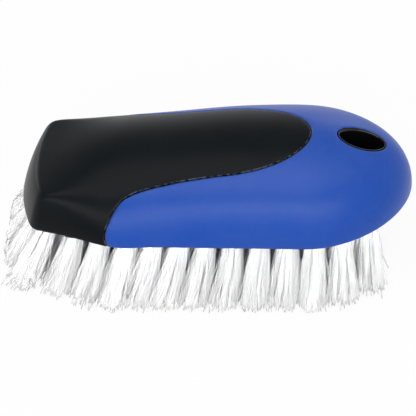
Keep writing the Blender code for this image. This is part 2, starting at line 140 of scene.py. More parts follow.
class Board:
    """A shader or geometry node tree under construction."""

    def __init__(self, tree: bpy.types.NodeTree) -> None:
        """Keep the tree.

        Args:
            tree: The tree that the nodes go into.
        """
        self.tree = tree

    def add(
        self,
        kind: str,
        settings: Optional[Mapping[str, Setting]] = None,
        values: Optional[Mapping[Union[str, int], object]] = None,
    ) -> bpy.types.Node:
        """Add a node, set it up and feed its sockets.

        Args:
            kind: The node's type.
            settings: The node's own properties, which are set first.
            values: What its input sockets hold, a link or a plain value, by name or place.

        Returns:
            The new node.
        """
        node = self.tree.nodes.new(kind)
        for name, setting in (settings or {}).items():
            setattr(node, name, setting)
        for key, value in (values or {}).items():
            self.feed(node.inputs[key], value)
        return node

    def feed(self, socket: bpy.types.NodeSocket, value: object) -> None:
        """Link a wire to an input socket, or set its plain value.

        Args:
            socket: The input socket.
            value: A wire or a plain value.
        """
        if isinstance(value, Wire):
            self.tree.links.new(value.socket, socket)
        else:
            socket.default_value = value

    def wire(
        self,
        kind: str,
        settings: Optional[Mapping[str, Setting]] = None,
        values: Optional[Mapping[Union[str, int], object]] = None,
        output: Union[str, int] = 0,
    ) -> Wire:
        """Add a node and give one of its outputs.

        Args:
            kind: The node's type.
            settings: The node's own properties.
            values: What its input sockets hold.
            output: The name or place of the output.

        Returns:
            The output as a wire.
        """
        return Wire(self, self.add(kind, settings, values).outputs[output])

    def maths(self, operation: str, *values: Value) -> Wire:
        """Join values by a maths node, or by a vector maths node where one of them is a vector.

        Args:
            operation: The node's operation.
            values: The values, in order.

        Returns:
            The result.
        """
        vectors = [v.is_vector if isinstance(v, Wire) else isinstance(v, tuple) for v in values]
        if not any(vectors):
            return self.wire("ShaderNodeMath", {"operation": operation}, dict(enumerate(values)))
        if operation == "MULTIPLY" and not all(vectors):
            vector, factor = values if vectors[0] else values[::-1]
            scaled = {0: vector, "Scale": factor}
            return self.wire("ShaderNodeVectorMath", {"operation": "SCALE"}, scaled)
        return self.wire("ShaderNodeVectorMath", {"operation": operation}, dict(enumerate(values)))

    def between(self, low: float, high: float, value: Wire) -> Wire:
        """The share of the way of a value from low to high, with soft ends.

        Args:
            low: Where the share is 0.
            high: Where the share is 1.
            value: The value.

        Returns:
            The share.
        """
        settings = {"interpolation_type": "SMOOTHSTEP"}
        values = {"Value": value, "From Min": low, "From Max": high}
        return self.wire("ShaderNodeMapRange", settings, values)

    def blend(self, share: Value, start: object, end: object) -> Wire:
        """A colour on the way from start to end.

        Args:
            share: How far along the way.
            start: The colour at share 0.
            end: The colour at share 1.

        Returns:
            The colour.
        """
        values = {0: share, 6: start, 7: end}
        return self.wire("ShaderNodeMix", {"data_type": "RGBA"}, values, output=2)


# Materials and objects


def rgba(colour: Sequence[float], factor: float = 1.0) -> tuple[float, float, float, float]:
    """An opaque colour for a socket.

    Args:
        colour: Red, green and blue.
        factor: How much brighter than that.

    Returns:
        The colour with its alpha.
    """
    red, green, blue = (channel * factor for channel in colour)
    return red, green, blue, 1.0


def new_material(name: str, colour: Sequence[float]) -> tuple[bpy.types.Material, Board, bpy.types.Node]:
    """Start a material.

    Args:
        name: Its name.
        colour: Its linear colour in a plain view.

    Returns:
        The material, its tree and its shader.
    """
    material = bpy.data.materials.new(name)
    material.use_nodes = True
    material.diffuse_color = rgba(colour)
    board = Board(material.node_tree)
    return material, board, board.tree.nodes["Principled BSDF"]


def new_object(name: str, data: bpy.types.ID) -> bpy.types.Object:
    """Put a new object into the scene.

    Args:
        name: Its name.
        data: The mesh, lamp or camera that it shows.

    Returns:
        The object.
    """
    thing = bpy.data.objects.new(name, data)
    bpy.context.scene.collection.objects.link(thing)
    return thing


# Finishes


@dataclass(frozen=True)
class MouldedPlastic:
    """A moulded plastic with faint blotches, scuffs, a painted sheen that pales its top, a painted highlight
    along its rounded edges and a fine grain.

    Lengths are in metres, and the colours are linear. A band gives the values between which a share
    rises from 0 to 1. A fineness is how many marks of a pattern go into a blotch's width, and a detail
    is a number of finer octaves.
    """

    name: str
    colour: tuple[float, float, float]
    pale: tuple[float, float, float]
    roughness: float
    blotch_size: float
    blotch_share: float
    scuff_share: float
    grain_size: float
    grain_depth: float
    specular: float
    roughness_spread: float = 0.06
    top_sheen_share: float = 0.0
    top_sheen_band: tuple[float, float] = (0.040, 0.056)
    edge_highlight_colour: tuple[float, float, float] = (0.30, 0.30, 0.30)
    edge_share: float = 0.0
    edge_band: tuple[float, float] = (0.02, 0.25)
    edge_rag: float = 0.0017
    edge_rag_detail: float = 1.0
    edge_rag_band: tuple[float, float] = (0.40, 0.62)
    blotch_detail: float = 3.0
    mottle_fineness: float = 6.0
    mottle_detail: float = 2.0
    mottle_share: float = 0.35
    cloud_band: tuple[float, float] = (0.32, 0.70)
    streak_fineness: float = 5.0
    streak_detail: float = 5.0
    streak_stretch: tuple[float, float, float] = (0.35, 1.3, 1.3)
    scuff_band: tuple[float, float] = (0.60, 0.74)
    grain_detail: float = 2.0

    def noise(self, board: Board, place: Wire, size: float, detail: float) -> Wire:
        """Noise with features of a given size.

        Args:
            board: The material's tree.
            place: The coordinates.
            size: The size of a feature.
            detail: The number of finer octaves.

        Returns:
            The noise, from 0 to 1.
        """
        values = {"Vector": place, "Scale": 1.0 / size, "Detail": detail}
        return board.wire("ShaderNodeTexNoise", {"normalize": True}, values)

    def dress(self) -> bpy.types.Material:
        """Build the material.

        Returns:
            The material.
        """
        material, board, shader = new_material(self.name, self.colour)
        place = board.wire("ShaderNodeTexCoord", output="Object")
        blotch = self.noise(board, place, self.blotch_size, self.blotch_detail)
        mottle = self.noise(board, place, self.blotch_size / self.mottle_fineness, self.mottle_detail)
        stretch = {"Vector": place, "Scale": self.streak_stretch}
        streak_place = board.wire("ShaderNodeMapping", None, stretch)
        streak_size = self.blotch_size / self.streak_fineness
        streak = self.noise(board, streak_place, streak_size, self.streak_detail)
        scuff = board.between(*self.scuff_band, streak) * self.scuff_share
        mixed = blotch * (1.0 - self.mottle_share) + mottle * self.mottle_share
        cloud = board.between(*self.cloud_band, mixed) * self.blotch_share
        # Painted sheen: the colour pales towards the top, standing in for the haze of reflected light on the
        # crown.
        height = board.wire("ShaderNodeSeparateXYZ", None, {"Vector": place}, output="Z")
        top_sheen = board.between(*self.top_sheen_band, height) * self.top_sheen_share
        tint = board.blend(cloud + scuff + top_sheen, rgba(self.colour), rgba(self.pale))
        # Painted highlight: ragged paler dashes over the rounded edges, standing in for light caught by
        # those edges.
        edge = board.wire("ShaderNodeAttribute", {"attribute_name": "edge"}, output="Fac")
        rag = self.noise(board, place, self.edge_rag, self.edge_rag_detail)
        edge_highlight_mask = board.between(*self.edge_band, edge) * board.between(*self.edge_rag_band, rag)
        tint = board.blend(edge_highlight_mask * self.edge_share, tint, rgba(self.edge_highlight_colour))
        spread = self.roughness_spread
        roughness = self.roughness + (blotch - NOISE_MIDDLE) * spread + scuff * spread
        grain = self.noise(board, place, self.grain_size, self.grain_detail)
        bump = {"Height": grain, "Strength": 1.0, "Distance": self.grain_depth}
        board.feed(shader.inputs["Base Color"], tint)
        board.feed(shader.inputs["Roughness"], roughness)
        board.feed(shader.inputs["Normal"], board.wire("ShaderNodeBump", None, bump))
        board.feed(shader.inputs["Specular IOR Level"], self.specular)
        return material


@dataclass(frozen=True)
class BristleNylon:
    """White synthetic filaments, each of its own tone, lit by painted light at the root and greyer at the
    cut tip.
    """

    name: str = "bristle_nylon"
    colour: tuple[float, float, float] = (0.80, 0.80, 0.80)
    depth_share: float = 1.0
    depth: float = 0.0036
    root_light_factor: float = 1.10
    root_band: tuple[float, float] = (0.0, 0.30)
    tip_factor: float = 0.80
    tip_band: tuple[float, float] = (0.90, 0.985)
    dull_factor: float = 0.55
    tone_spread: float = 0.16
    roughness: float = 0.38
    roughness_spread: float = 0.10
    specular: float = 0.4

    def dress(self) -> bpy.types.Material:
        """Build the material, which reads the filaments' along and tone attributes.

        Returns:
            The material.
        """
        material, board, shader = new_material(self.name, self.colour)
        along = board.wire("ShaderNodeAttribute", {"attribute_name": "along"}, output="Fac")
        tone = board.wire("ShaderNodeAttribute", {"attribute_name": "tone"}, output="Fac")
        # Painted light: the roots are brightened to lift the shade that falls between the tufts.
        bright, plain = rgba(self.colour, self.root_light_factor), rgba(self.colour)
        shade = board.blend(board.between(*self.root_band, along), bright, plain)
        shade = board.blend(board.between(*self.tip_band, along), shade, rgba(self.colour, self.tip_factor))
        shade = board.blend(tone * self.tone_spread, shade, rgba(self.colour, self.dull_factor))
        board.feed(shader.inputs["Base Color"], shade)
        board.feed(shader.inputs["Roughness"], self.roughness + tone * self.roughness_spread)
        board.feed(shader.inputs["Specular IOR Level"], self.specular)
        shader.subsurface_method = "BURLEY"
        board.feed(shader.inputs["Subsurface Weight"], self.depth_share)
        board.feed(shader.inputs["Subsurface Radius"], WHITE)
        board.feed(shader.inputs["Subsurface Scale"], self.depth)
        return material


@dataclass(frozen=True)
class StudioFloor:
    """A plain pale floor that keeps the brush's shadow and looks near white."""

    name: str = "studio_floor"
    colour: tuple[float, float, float] = (0.90, 0.90, 0.90)
    roughness: float = 0.9
    own_light_share: float = 0.93

    def dress(self) -> bpy.types.Material:
        """Build the material.

        Returns:
            The material.
        """
        material, board, shader = new_material(self.name, self.colour)
        board.feed(shader.inputs["Base Color"], rgba(self.colour))
        board.feed(shader.inputs["Roughness"], self.roughness)
        board.feed(shader.inputs["Specular IOR Level"], 0.0)
        light = board.wire("ShaderNodeEmission", None, {"Color": rgba(WHITE), "Strength": 1.0})
        mixed = board.add("ShaderNodeMixShader", None, {0: seen_directly(board) * self.own_light_share})
        board.tree.links.new(shader.outputs[0], mixed.inputs[1])
        board.tree.links.new(light.socket, mixed.inputs[2])
        board.tree.links.new(mixed.outputs[0], board.tree.nodes["Material Output"].inputs["Surface"])
        return material


def seen_directly(board: Board) -> Wire:
    """Whether a ray comes from the camera or by way of a mirror or glass.

    Args:
        board: The tree to build in.

    Returns:
        1 for such a ray, and 0 for the rest.
    """
    path = board.add("ShaderNodeLightPath")
    camera, glossy, clear = (
        Wire(board, path.outputs[name])
        for name in ("Is Camera Ray", "Is Glossy Ray", "Is Transmission Ray")
    )
    return board.maths("MAXIMUM", board.maths("MAXIMUM", camera, glossy), clear)


class Finish(Enum):
    """The finishes of the brush."""

    BLUE_PLASTIC = MouldedPlastic(
        name="blue_plastic", colour=(0.0025, 0.061, 0.380), pale=(0.040, 0.098, 0.430), roughness=0.36,
        blotch_size=0.016, blotch_share=0.20, scuff_share=0.16, grain_size=0.00035, grain_depth=0.000010,
        # painted sheen on the top and painted highlight along the rounded edges
        specular=0.27, top_sheen_share=0.25, edge_highlight_colour=(0.10, 0.16, 0.42), edge_share=0.35,
    )
    BLACK_GRIP = MouldedPlastic(
        name="black_grip", colour=(0.0022, 0.0036, 0.0048), pale=(0.007, 0.009, 0.011), roughness=0.32,
        blotch_size=0.014, blotch_share=0.25, scuff_share=0.12, grain_size=0.00030, grain_depth=0.000008,
        # painted sheen on the top and painted highlight along the rounded edges
        specular=0.08, top_sheen_share=0.45, top_sheen_band=(0.036, 0.047), edge_highlight_colour=(0.13, 0.15, 0.22),
        edge_share=0.55,
    )
    GLOSS_BLACK = MouldedPlastic(
        name="gloss_black", colour=(0.0030, 0.0030, 0.0034), pale=(0.008, 0.008, 0.009), roughness=0.10,
        blotch_size=0.010, blotch_share=0.20, scuff_share=0.10, grain_size=0.0030, grain_depth=0.000004,
        specular=0.35, roughness_spread=0.04,
    )
    BLOCK_WHITE = MouldedPlastic(
        name="block_white", colour=(0.74, 0.75, 0.76), pale=(0.80, 0.80, 0.80), roughness=0.45,
        blotch_size=0.012, blotch_share=0.40, scuff_share=0.20, grain_size=0.0005, grain_depth=0.000012,
        specular=0.4,
    )
    BRISTLE_WHITE = BristleNylon()
    FLOOR = StudioFloor()


# The back's surface


def between(low: float, high: float, value: np.ndarray) -> np.ndarray:
    """The share of the way of values from low to high, with soft ends.

    Args:
        low: Where the share is 0.
        high: Where the share is 1.
        value: The values.

    Returns:
        The shares.
    """
    share = np.clip((value - low) / (high - low), 0.0, 1.0)
    return share * share * (3 - 2 * share)


def through(stations: Sequence[float], values: Sequence[float], place: np.ndarray) -> np.ndarray:
    """Heights at the places of a smooth curve through values at stations.

    Args:
        stations: Where the values are given, in rising order.
        values: The values there.
        place: Where the curve is read.

    Returns:
        The curve's values.
    """
    at = np.asarray(stations, float)
    level = np.asarray(values, float)
    place = np.clip(place, at[0], at[-1])
    step = np.arange(len(at))
    before, after = np.maximum(step - 1, 0), np.minimum(step + 1, len(at) - 1)
    slopes = (level[after] - level[before]) / (at[after] - at[before])
    i = np.clip(np.searchsorted(at, place) - 1, 0, len(at) - 2)
    span = at[i + 1] - at[i]
    t = (place - at[i]) / span
    rise = (3 - 2 * t) * t * t
    bend = slopes[i] * span * t * (1 - t) ** 2 - slopes[i + 1] * span * t * t * (1 - t)
    return level[i] + (level[i + 1] - level[i]) * rise + bend


def resample(path: np.ndarray, spacing: float) -> np.ndarray:
    """Points an even step apart along an open path, its ends included.

    Args:
        path: The path's points.
        spacing: The step that is aimed at.

    Returns:
        The new points.
    """
    steps = np.linalg.norm(np.diff(path, axis=0), axis=1)
    run = np.concatenate(([0.0], np.cumsum(steps)))
    count = max(int(round(run[-1] / spacing)), 2)
    at = np.linspace(0.0, run[-1], count + 1)
    return np.column_stack([np.interp(at, run, path[:, axis]) for axis in (0, 1)])


@dataclass(frozen=True)
class BackForm:
    """The outer surface of the back and the plain layout that it unrolls to.

    In the layout a point lies on its spoke, the line square to the spine that passes through it, at the
    way along the surface from the spine. Lengths are in metres, and names ending in shares are shares of
    the length or the half width.
    """

    shift: float
    rim_z: float
    length: float = 0.160
    half_width: float = 0.0373
    side_station_shares: tuple[float, ...] = (-0.469, -0.375, -0.275, -0.2275, -0.1625, 0.0125, 0.2325)
    side_width_shares: tuple[float, ...] = (0.670, 0.784, 0.931, 0.964, 0.955, 0.975, 1.0)
    nose_bulge: float = 0.0057
    nose_corner: float = 0.0030
    tail_length: float = 0.0427
    tail_power: float = 1.76
    crown_rise: float = 0.0302
    crown_station_shares: tuple[float, ...] = (-0.5, -0.3, -0.1, 0.1, 0.3, 0.5)
    crown_height_shares: tuple[float, ...] = (0.518, 0.790, 0.913, 1.0, 0.950, 0.615)
    crown_fall: float = 0.0181
    nose_fall: float = 0.0007
    fall_start: float = 0.0
    fall_end: float = 0.0432
    nose_draft: float = 0.0040
    draft_span: float = 0.040
    shoulder_radius: float = 0.0125
    shoulder_power: float = 2.335
    nose_edge_radius: float = 0.0048
    nose_blend: float = 0.026
    nose_spine: float = 0.020
    tail_spine: float = 0.005
    wall_span: float = 0.016
    outline_steps: int = 260
    probe: float = 0.00002

    @property
    def nose_x(self) -> float:
        """The nose's place along the brush."""
        return -self.length / 2

    @property
    def tail_x(self) -> float:
        """Where the tail's rounding starts."""
        return self.length / 2 - self.tail_length

    @property
    def spine(self) -> tuple[float, float]:
        """Where the spine starts and ends."""
        return self.nose_x + self.nose_spine, self.tail_x + self.tail_spine

    def width_at(self, x: np.ndarray) -> np.ndarray:
        """Half the width of the outline at places along the brush.

        Args:
            x: The places.

        Returns:
            The half widths.
        """
        side = self.half_width * through(self.side_station_shares, self.side_width_shares, x / self.length)
        along = np.clip((x - self.tail_x) / self.tail_length, 0.0, 1.0)
        tail = self.half_width * (1 - along ** self.tail_power) ** (1 / self.tail_power)
        return np.where(x <= self.tail_x, side, tail)

    def half_outline(self) -> np.ndarray:
        """Points of the outline from the middle of the nose round the +Y side to the tail's tip.

        Returns:
            The points, an array of x and y.
        """
        steps = self.outline_steps
        corner_x = self.nose_x + self.nose_bulge
        half = float(self.width_at(np.array(corner_x)))
        y = np.linspace(0.0, half - self.nose_corner, steps)
        nose = np.column_stack([self.nose_x + self.nose_bulge * (y / half) ** 2, y])
        side_x = corner_x + self.nose_corner
        knee = np.array([corner_x, half])
        end = np.array([side_x, float(self.width_at(np.array(side_x)))])
        t = np.linspace(0.0, 1.0, steps)[1:, None]
        corner = nose[-1] * (1 - t) ** 2 + knee * (2 * t * (1 - t)) + end * t * t
        x = np.linspace(side_x, self.tail_x, steps)[1:]
        side = np.column_stack([x, self.width_at(x)])
        turn = np.linspace(0.0, math.pi / 2, steps)[1:]
        across = np.maximum(np.cos(turn), 0.0) ** (2 / self.tail_power)
        along = np.sin(turn) ** (2 / self.tail_power)
        across[-1] = 0.0
        tail = np.column_stack([self.tail_x + self.tail_length * along, self.half_width * across])
        return np.vstack([nose, corner, side, tail])

    def spokes(self, points: np.ndarray) -> tuple[np.ndarray, np.ndarray, np.ndarray, np.ndarray]:
        """The spoke of each point.

        Args:
            points: Points in the layout or seen from above.

        Returns:
            Each spoke's start, its direction, the point's way along it and its length seen from above.
        """
        low, high = self.spine
        start = np.column_stack([np.clip(points[:, 0], low, high), np.zeros(len(points))])
        way = points - start
        distance = np.linalg.norm(way, axis=1)
        direction = way / np.maximum(distance, TINY)[:, None]
        outline = self.half_outline()
        reach = self.width_at(start[:, 0])
        for end, sign in ((low, -1.0), (high, 1.0)):
            part = outline[sign * (outline[:, 0] - end) >= -self.probe]
            spread = part - np.array([end, 0.0])
            angles = np.arctan2(spread[:, 1], sign * spread[:, 0])
            order = np.argsort(angles)
            lengths = np.linalg.norm(spread, axis=1)
            mine = sign * (points[:, 0] - end) > 0
            angle = np.arctan2(np.abs(way[mine, 1]), sign * way[mine, 0])
            reach[mine] = np.interp(angle, angles[order], lengths[order])
        return start, direction, distance, reach

    def radius_at(self, x: np.ndarray) -> np.ndarray:
        """Radius of the rounding from the wall to the crown, for walls at places along the brush.

        Args:
            x: The places.

        Returns:
            The radii.
        """
        start = self.nose_x + self.nose_bulge
        blend = between(start, start + self.nose_blend, x)
        return self.nose_edge_radius + (self.shoulder_radius - self.nose_edge_radius) * blend

    def wall_radius(self, start: np.ndarray, direction: np.ndarray, reach: np.ndarray) -> np.ndarray:
        """Radius of the rounding where each spoke meets the wall.

        Args:
            start: The spokes' starts.
            direction: Their directions.
            reach: Their lengths.

        Returns:
            The radii.
        """
        return self.radius_at((start + direction * reach[:, None])[:, 0])

    def share_down(self, distance: np.ndarray, reach: np.ndarray, radius: np.ndarray) -> np.ndarray:
        """How far down the wall a way along a spoke leads, from 0 on the crown to 1 at the rim.

        Args:
            distance: The ways along the spokes, in the layout.
            reach: The spokes' lengths.
            radius: The radii of the rounding there.

        Returns:
            The shares.
        """
        return np.clip((distance - reach + radius) / (radius + self.wall_span), 0.0, 1.0)

    def unroll(self, points: np.ndarray) -> np.ndarray:
        """Places in the layout of points seen from above.

        Args:
            points: The points, inside the outline or on it.

        Returns:
            Their places in the layout.
        """
        start, direction, distance, reach = self.spokes(points)
        radius = self.wall_radius(start, direction, reach)
        depth = np.maximum(reach - distance, 0.0)
        across = np.clip(1 - depth / radius, 0.0, 1.0)
        turn = np.arccos(across ** (self.shoulder_power / 2))
        wall = reach - radius + (1 - turn / (math.pi / 2)) * (radius + self.wall_span)
        return start + direction * np.where(depth >= radius, distance, wall)[:, None]

    def rim(self, outline: np.ndarray) -> np.ndarray:
        """Places in the layout of points on the outline.

        Args:
            outline: The points.

        Returns:
            Their places in the layout.
        """
        start, direction, distance, _ = self.spokes(outline)
        return start + direction * (distance + self.wall_span)[:, None]

    def wall_share(self, layout: np.ndarray) -> np.ndarray:
        """How far down the wall places in the layout lie, from 0 on the crown to 1 at the rim.

        Args:
            layout: The places.

        Returns:
            The shares.
        """
        start, direction, distance, reach = self.spokes(layout)
        radius = self.wall_radius(start, direction, reach)
        return self.share_down(distance, reach, radius)

    def surface(self, layout: np.ndarray) -> np.ndarray:
        """Points of the back's surface at places in the layout.

        Args:
            layout: The places.

        Returns:
            The points, in three dimensions.
        """
        start, direction, distance, reach = self.spokes(layout)
        radius = self.wall_radius(start, direction, reach)
        share = self.share_down(distance, reach, radius)
        turn = (1 - share) * math.pi / 2
        across = np.maximum(np.cos(turn), 0.0) ** (2 / self.shoulder_power)
        rise = np.sin(turn) ** (2 / self.shoulder_power)
        depth = np.where(share > 0, radius * (1 - across), reach - distance)
        place = start + direction * (reach - depth)[:, None]
        x, y = place[:, 0], place[:, 1]
        crown_share = through(self.crown_station_shares, self.crown_height_shares, x / self.length)
        fall_share = between(self.fall_start, self.fall_end, x - self.nose_x)
        fall = self.nose_fall + (self.crown_fall - self.nose_fall) * fall_share
        height = (self.crown_rise * crown_share - fall * (y / self.half_width) ** 2) * rise
        near_nose = np.clip((self.nose_x + self.draft_span - x) / self.draft_span, 0.0, 1.0)
        nose_height = self.crown_rise * self.crown_height_shares[0]
        lean = self.nose_draft * near_nose * height / nose_height
        return np.column_stack([x + lean + self.shift, y, self.rim_z + height])

    def lift(self, layout: np.ndarray, offset: Union[float, np.ndarray]) -> np.ndarray:
        """Points at an offset from the back's surface, square to it.

        Args:
            layout: Places in the layout.
            offset: How far outside the surface, negative inwards.

        Returns:
            The points, in three dimensions.
        """
        along = np.array([self.probe, 0.0])
        across = np.array([0.0, self.probe])
        run = self.surface(layout + along) - self.surface(layout - along)
        turn = self.surface(layout + across) - self.surface(layout - across)
        normal = np.cross(run, turn)
        normal /= np.maximum(np.linalg.norm(normal, axis=1), TINY)[:, None]
        return self.surface(layout) + normal * np.broadcast_to(offset, len(layout))[:, None]


# Thin moulded walls over the layout


def inset_loop(loop: np.ndarray, distance: float) -> np.ndarray:
    """A closed loop drawn in to its left, with its corners kept.

    Args:
        loop: The loop's points.
        distance: How far it is drawn in.

    Returns:
        As many points.
    """
    edges = np.roll(loop, -1, axis=0) - loop
    edges /= np.linalg.norm(edges, axis=1)[:, None]
    left = np.column_stack([-edges[:, 1], edges[:, 0]])
    before = np.roll(left, 1, axis=0)
    mitre = (left + before) / np.maximum(1 + (left * before).sum(axis=1), LEAST_MITRE)[:, None]
    return loop + mitre * distance


def inside(points: np.ndarray, loop: np.ndarray) -> np.ndarray:
    """Which points lie inside a closed loop.

    Args:
        points: The points.
        loop: The loop's points.

    Returns:
        One truth value for each point.
    """
    found = np.zeros(len(points), bool)
    for (x0, y0), (x1, y1) in zip(loop, np.roll(loop, -1, axis=0)):
        if y0 != y1:
            crosses = (y0 > points[:, 1]) != (y1 > points[:, 1])
            found ^= crosses & (points[:, 0] < x0 + (points[:, 1] - y0) * (x1 - x0) / (y1 - y0))
    return found


@dataclass
class Sheet:
    """A stretch of the back's surface, meshed in the layout, with its edges rounded over.

    The first loop is the outside, run with the sheet on its left, and the others are holes, run the
    other way round.
    """

    form: BackForm
    loops: Sequence[np.ndarray]
    edge_radius: float
    spacing: float
    edge_steps: int = 4
    clear_share: float = 0.7

    def __post_init__(self) -> None:
        """Mesh the sheet in the layout."""
        points, drops, borders = [], [], []
        for loop in self.loops:
            for step in range(self.edge_steps + 1 if self.edge_radius else 1):
                turn = step / self.edge_steps * math.pi / 2
                ring = inset_loop(loop, self.edge_radius * (1 - math.cos(turn)))
                first = sum(len(p) for p in points)
                borders += [(first + i, first + (i + 1) % len(ring)) for i in range(len(ring))]
                points.append(ring)
                drops.append(np.full(len(ring), self.edge_radius * (1 - math.sin(turn))))
        lattice = self.lattice(np.vstack(points))
        points.append(lattice)
        drops.append(np.zeros(len(lattice)))
        given = np.vstack(points)
        flat = [Vector(p) for p in given]
        verts, _, faces, sources, _, _ = delaunay_2d_cdt(flat, borders, [], 0, TINY)
        self.layout = np.array([tuple(v) for v in verts])
        self.drop = np.array([np.concatenate(drops)[s[0]] if s else 0.0 for s in sources])
        triangles = np.array(faces)
        self.triangles = triangles[self.covers(self.layout[triangles].mean(axis=1))]

    def covers(self, points: np.ndarray) -> np.ndarray:
        """Which points lie inside the sheet's outside and in none of its holes.

        Args:
            points: The points.

        Returns:
            One truth value for each point.
        """
        kept = inside(points, self.loops[0])
        for hole in self.loops[1:]:
            kept &= ~inside(points, hole)
        return kept

    def lattice(self, taken: np.ndarray) -> np.ndarray:
        """Points in even staggered rows inside the sheet, clear of the points that are taken.

        Args:
            taken: The points along the sheet's edges.

        Returns:
            The points.
        """
        low, high = taken.min(axis=0), taken.max(axis=0)
        row_step = self.spacing * math.sqrt(3) / 2
        rows = []
        count = int((high[1] - low[1]) / row_step / 2) + 1
        for row in range(-count, count + 1):
            x = np.arange(low[0], high[0], self.spacing) + (row % 2) * self.spacing / 2
            rows.append(np.column_stack([x, np.full(len(x), row * row_step)]))
        points = np.vstack(rows)
        points = points[self.covers(points)]
        tree = kdtree.KDTree(len(taken))
        for i, (x, y) in enumerate(taken):
            tree.insert((x, y, 0.0), i)
        tree.balance()
        clear = [tree.find((x, y, 0.0))[2] > self.spacing * self.clear_share for x, y in points]
        return points[np.array(clear)]

    def edges(self) -> list[tuple[int, int]]:
        """The sheet's open edges, each run with the sheet on its left.

        Returns:
            Pairs of point numbers.
        """
        runs = {(int(t[i]), int(t[(i + 1) % 3])) for t in self.triangles for i in range(3)}
        return [run for run in runs if run[::-1] not in runs]


@dataclass(frozen=True)
class Step:
    """The line along which one sheet of a wall meets another that lies lower."""

    line: np.ndarray
    offset: float
    has_wall: bool

    def holds(self, layout: np.ndarray) -> np.ndarray:
        """Which places in the layout lie on the line.

        Args:
            layout: The places.

        Returns:
            One truth value for each place.
        """
        known = {tuple(np.round(p / MERGE_STEP).astype(int)) for p in self.line}
        return np.array([tuple(np.round(p / MERGE_STEP).astype(int)) in known for p in layout])


class WallBuilder:
    """Gathers sheets with a thickness into one closed mesh."""

    def __init__(self, form: BackForm) -> None:
        """Start an empty mesh.

        Args:
            form: The back's surface.
        """
        self.form = form
        self.points: list[np.ndarray] = []
        self.edge_shares: list[np.ndarray] = []
        self.faces: list[tuple[int, ...]] = []
        self.count = 0

    def place(self, points: np.ndarray, edge_share: Optional[np.ndarray] = None) -> int:
        """Add points.

        Args:
            points: The points, in three dimensions.
            edge_share: How far each lies over a rounded edge, none of them if left out.

        Returns:
            The number of the first of them.
        """
        first = self.count
        self.points.append(points)
        self.edge_shares.append(np.zeros(len(points)) if edge_share is None else edge_share)
        self.count += len(points)
        return first

    def add(self, sheet: Sheet, top: float, base: np.ndarray, step: Optional[Step] = None) -> None:
        """Add a sheet with its underside and the walls along its edges.

        Args:
            sheet: The sheet.
            top: How far outside the back's surface its face lies.
            base: The same for its underside, at each point of the sheet.
            step: Where an edge meets a lower sheet, the points there and that sheet's offset.
        """
        over_edge = sheet.drop / max(sheet.edge_radius, TINY)
        upper = self.place(self.form.lift(sheet.layout, top - sheet.drop), over_edge)
        lower = self.place(self.form.lift(sheet.layout, base))
        self.faces += [tuple(upper + t) for t in sheet.triangles]
        self.faces += [tuple(lower + t[::-1]) for t in sheet.triangles]
        at_step = step.holds(sheet.layout) if step else np.zeros(len(sheet.layout), bool)
        has_wall = step is not None and step.has_wall
        ledge = self.place(self.form.lift(sheet.layout, step.offset)) if has_wall else lower
        for a, b in sheet.edges():
            if not (at_step[a] and at_step[b]):
                self.faces.append((upper + b, upper + a, lower + a, lower + b))
            elif has_wall:
                self.faces.append((upper + b, upper + a, ledge + a, ledge + b))

    def build(self, name: str, material: bpy.types.Material, sharp_angle: float) -> bpy.types.Object:
        """Make the mesh, with points in one place merged and loose ones left out.

        Args:
            name: The piece's name.
            material: Its material.
            sharp_angle: Edges that turn by more stay sharp.

        Returns:
            The piece.
        """
        points = np.vstack(self.points)
        keys = np.round(points / MERGE_STEP).astype(np.int64)
        _, first, numbers = np.unique(keys, axis=0, return_index=True, return_inverse=True)
        numbers = numbers.reshape(-1)
        faces = [tuple(int(numbers[i]) for i in face) for face in self.faces]
        used = sorted({i for face in faces for i in face})
        place = {number: i for i, number in enumerate(used)}
        corners = [tuple(points[first[number]]) for number in used]
        faces = [[place[i] for i in face] for face in faces]
        piece = new_piece(name, corners, faces, material, sharp_angle)
        shares = np.concatenate(self.edge_shares)[first[used]]
        piece.data.attributes.new("edge", "FLOAT", "POINT").data.foreach_set("value", shares)
        return piece


def new_piece(
    name: str,
    points: Sequence[Sequence[float]],
    faces: Sequence[Sequence[int]],
    material: bpy.types.Material,
    sharp_angle: float,
) -> bpy.types.Object:
    """Make a smooth shaded piece at the origin from points and faces.

    Args:
        name: The piece's name.
        points: Its points.
        faces: Its faces, which point outwards.
        material: Its material.
        sharp_angle: Edges that turn by more stay sharp.

    Returns:
        The piece.
    """
    mesh = bpy.data.meshes.new(name)
    mesh.from_pydata([tuple(p) for p in points], [], [tuple(f) for f in faces])
    mesh.materials.append(material)
    mesh.shade_smooth()
    mesh.set_sharp_from_angle(angle=sharp_angle)
    return new_object(name, mesh)


def attach(piece: bpy.types.Object, nodes: Sequence[str]) -> None:
    """Put a finished piece in place of the frame's nodes.

    Args:
        piece: The piece.
        nodes: The nodes that it stands for.
    """
    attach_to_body(piece, BODY)
    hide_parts(*nodes)
    triangles = sum(len(face.vertices) - 2 for face in piece.data.polygons)
    LOG.info("%s: %d triangles in place of %d nodes", piece.name, triangles, len(nodes))


# The moulded back


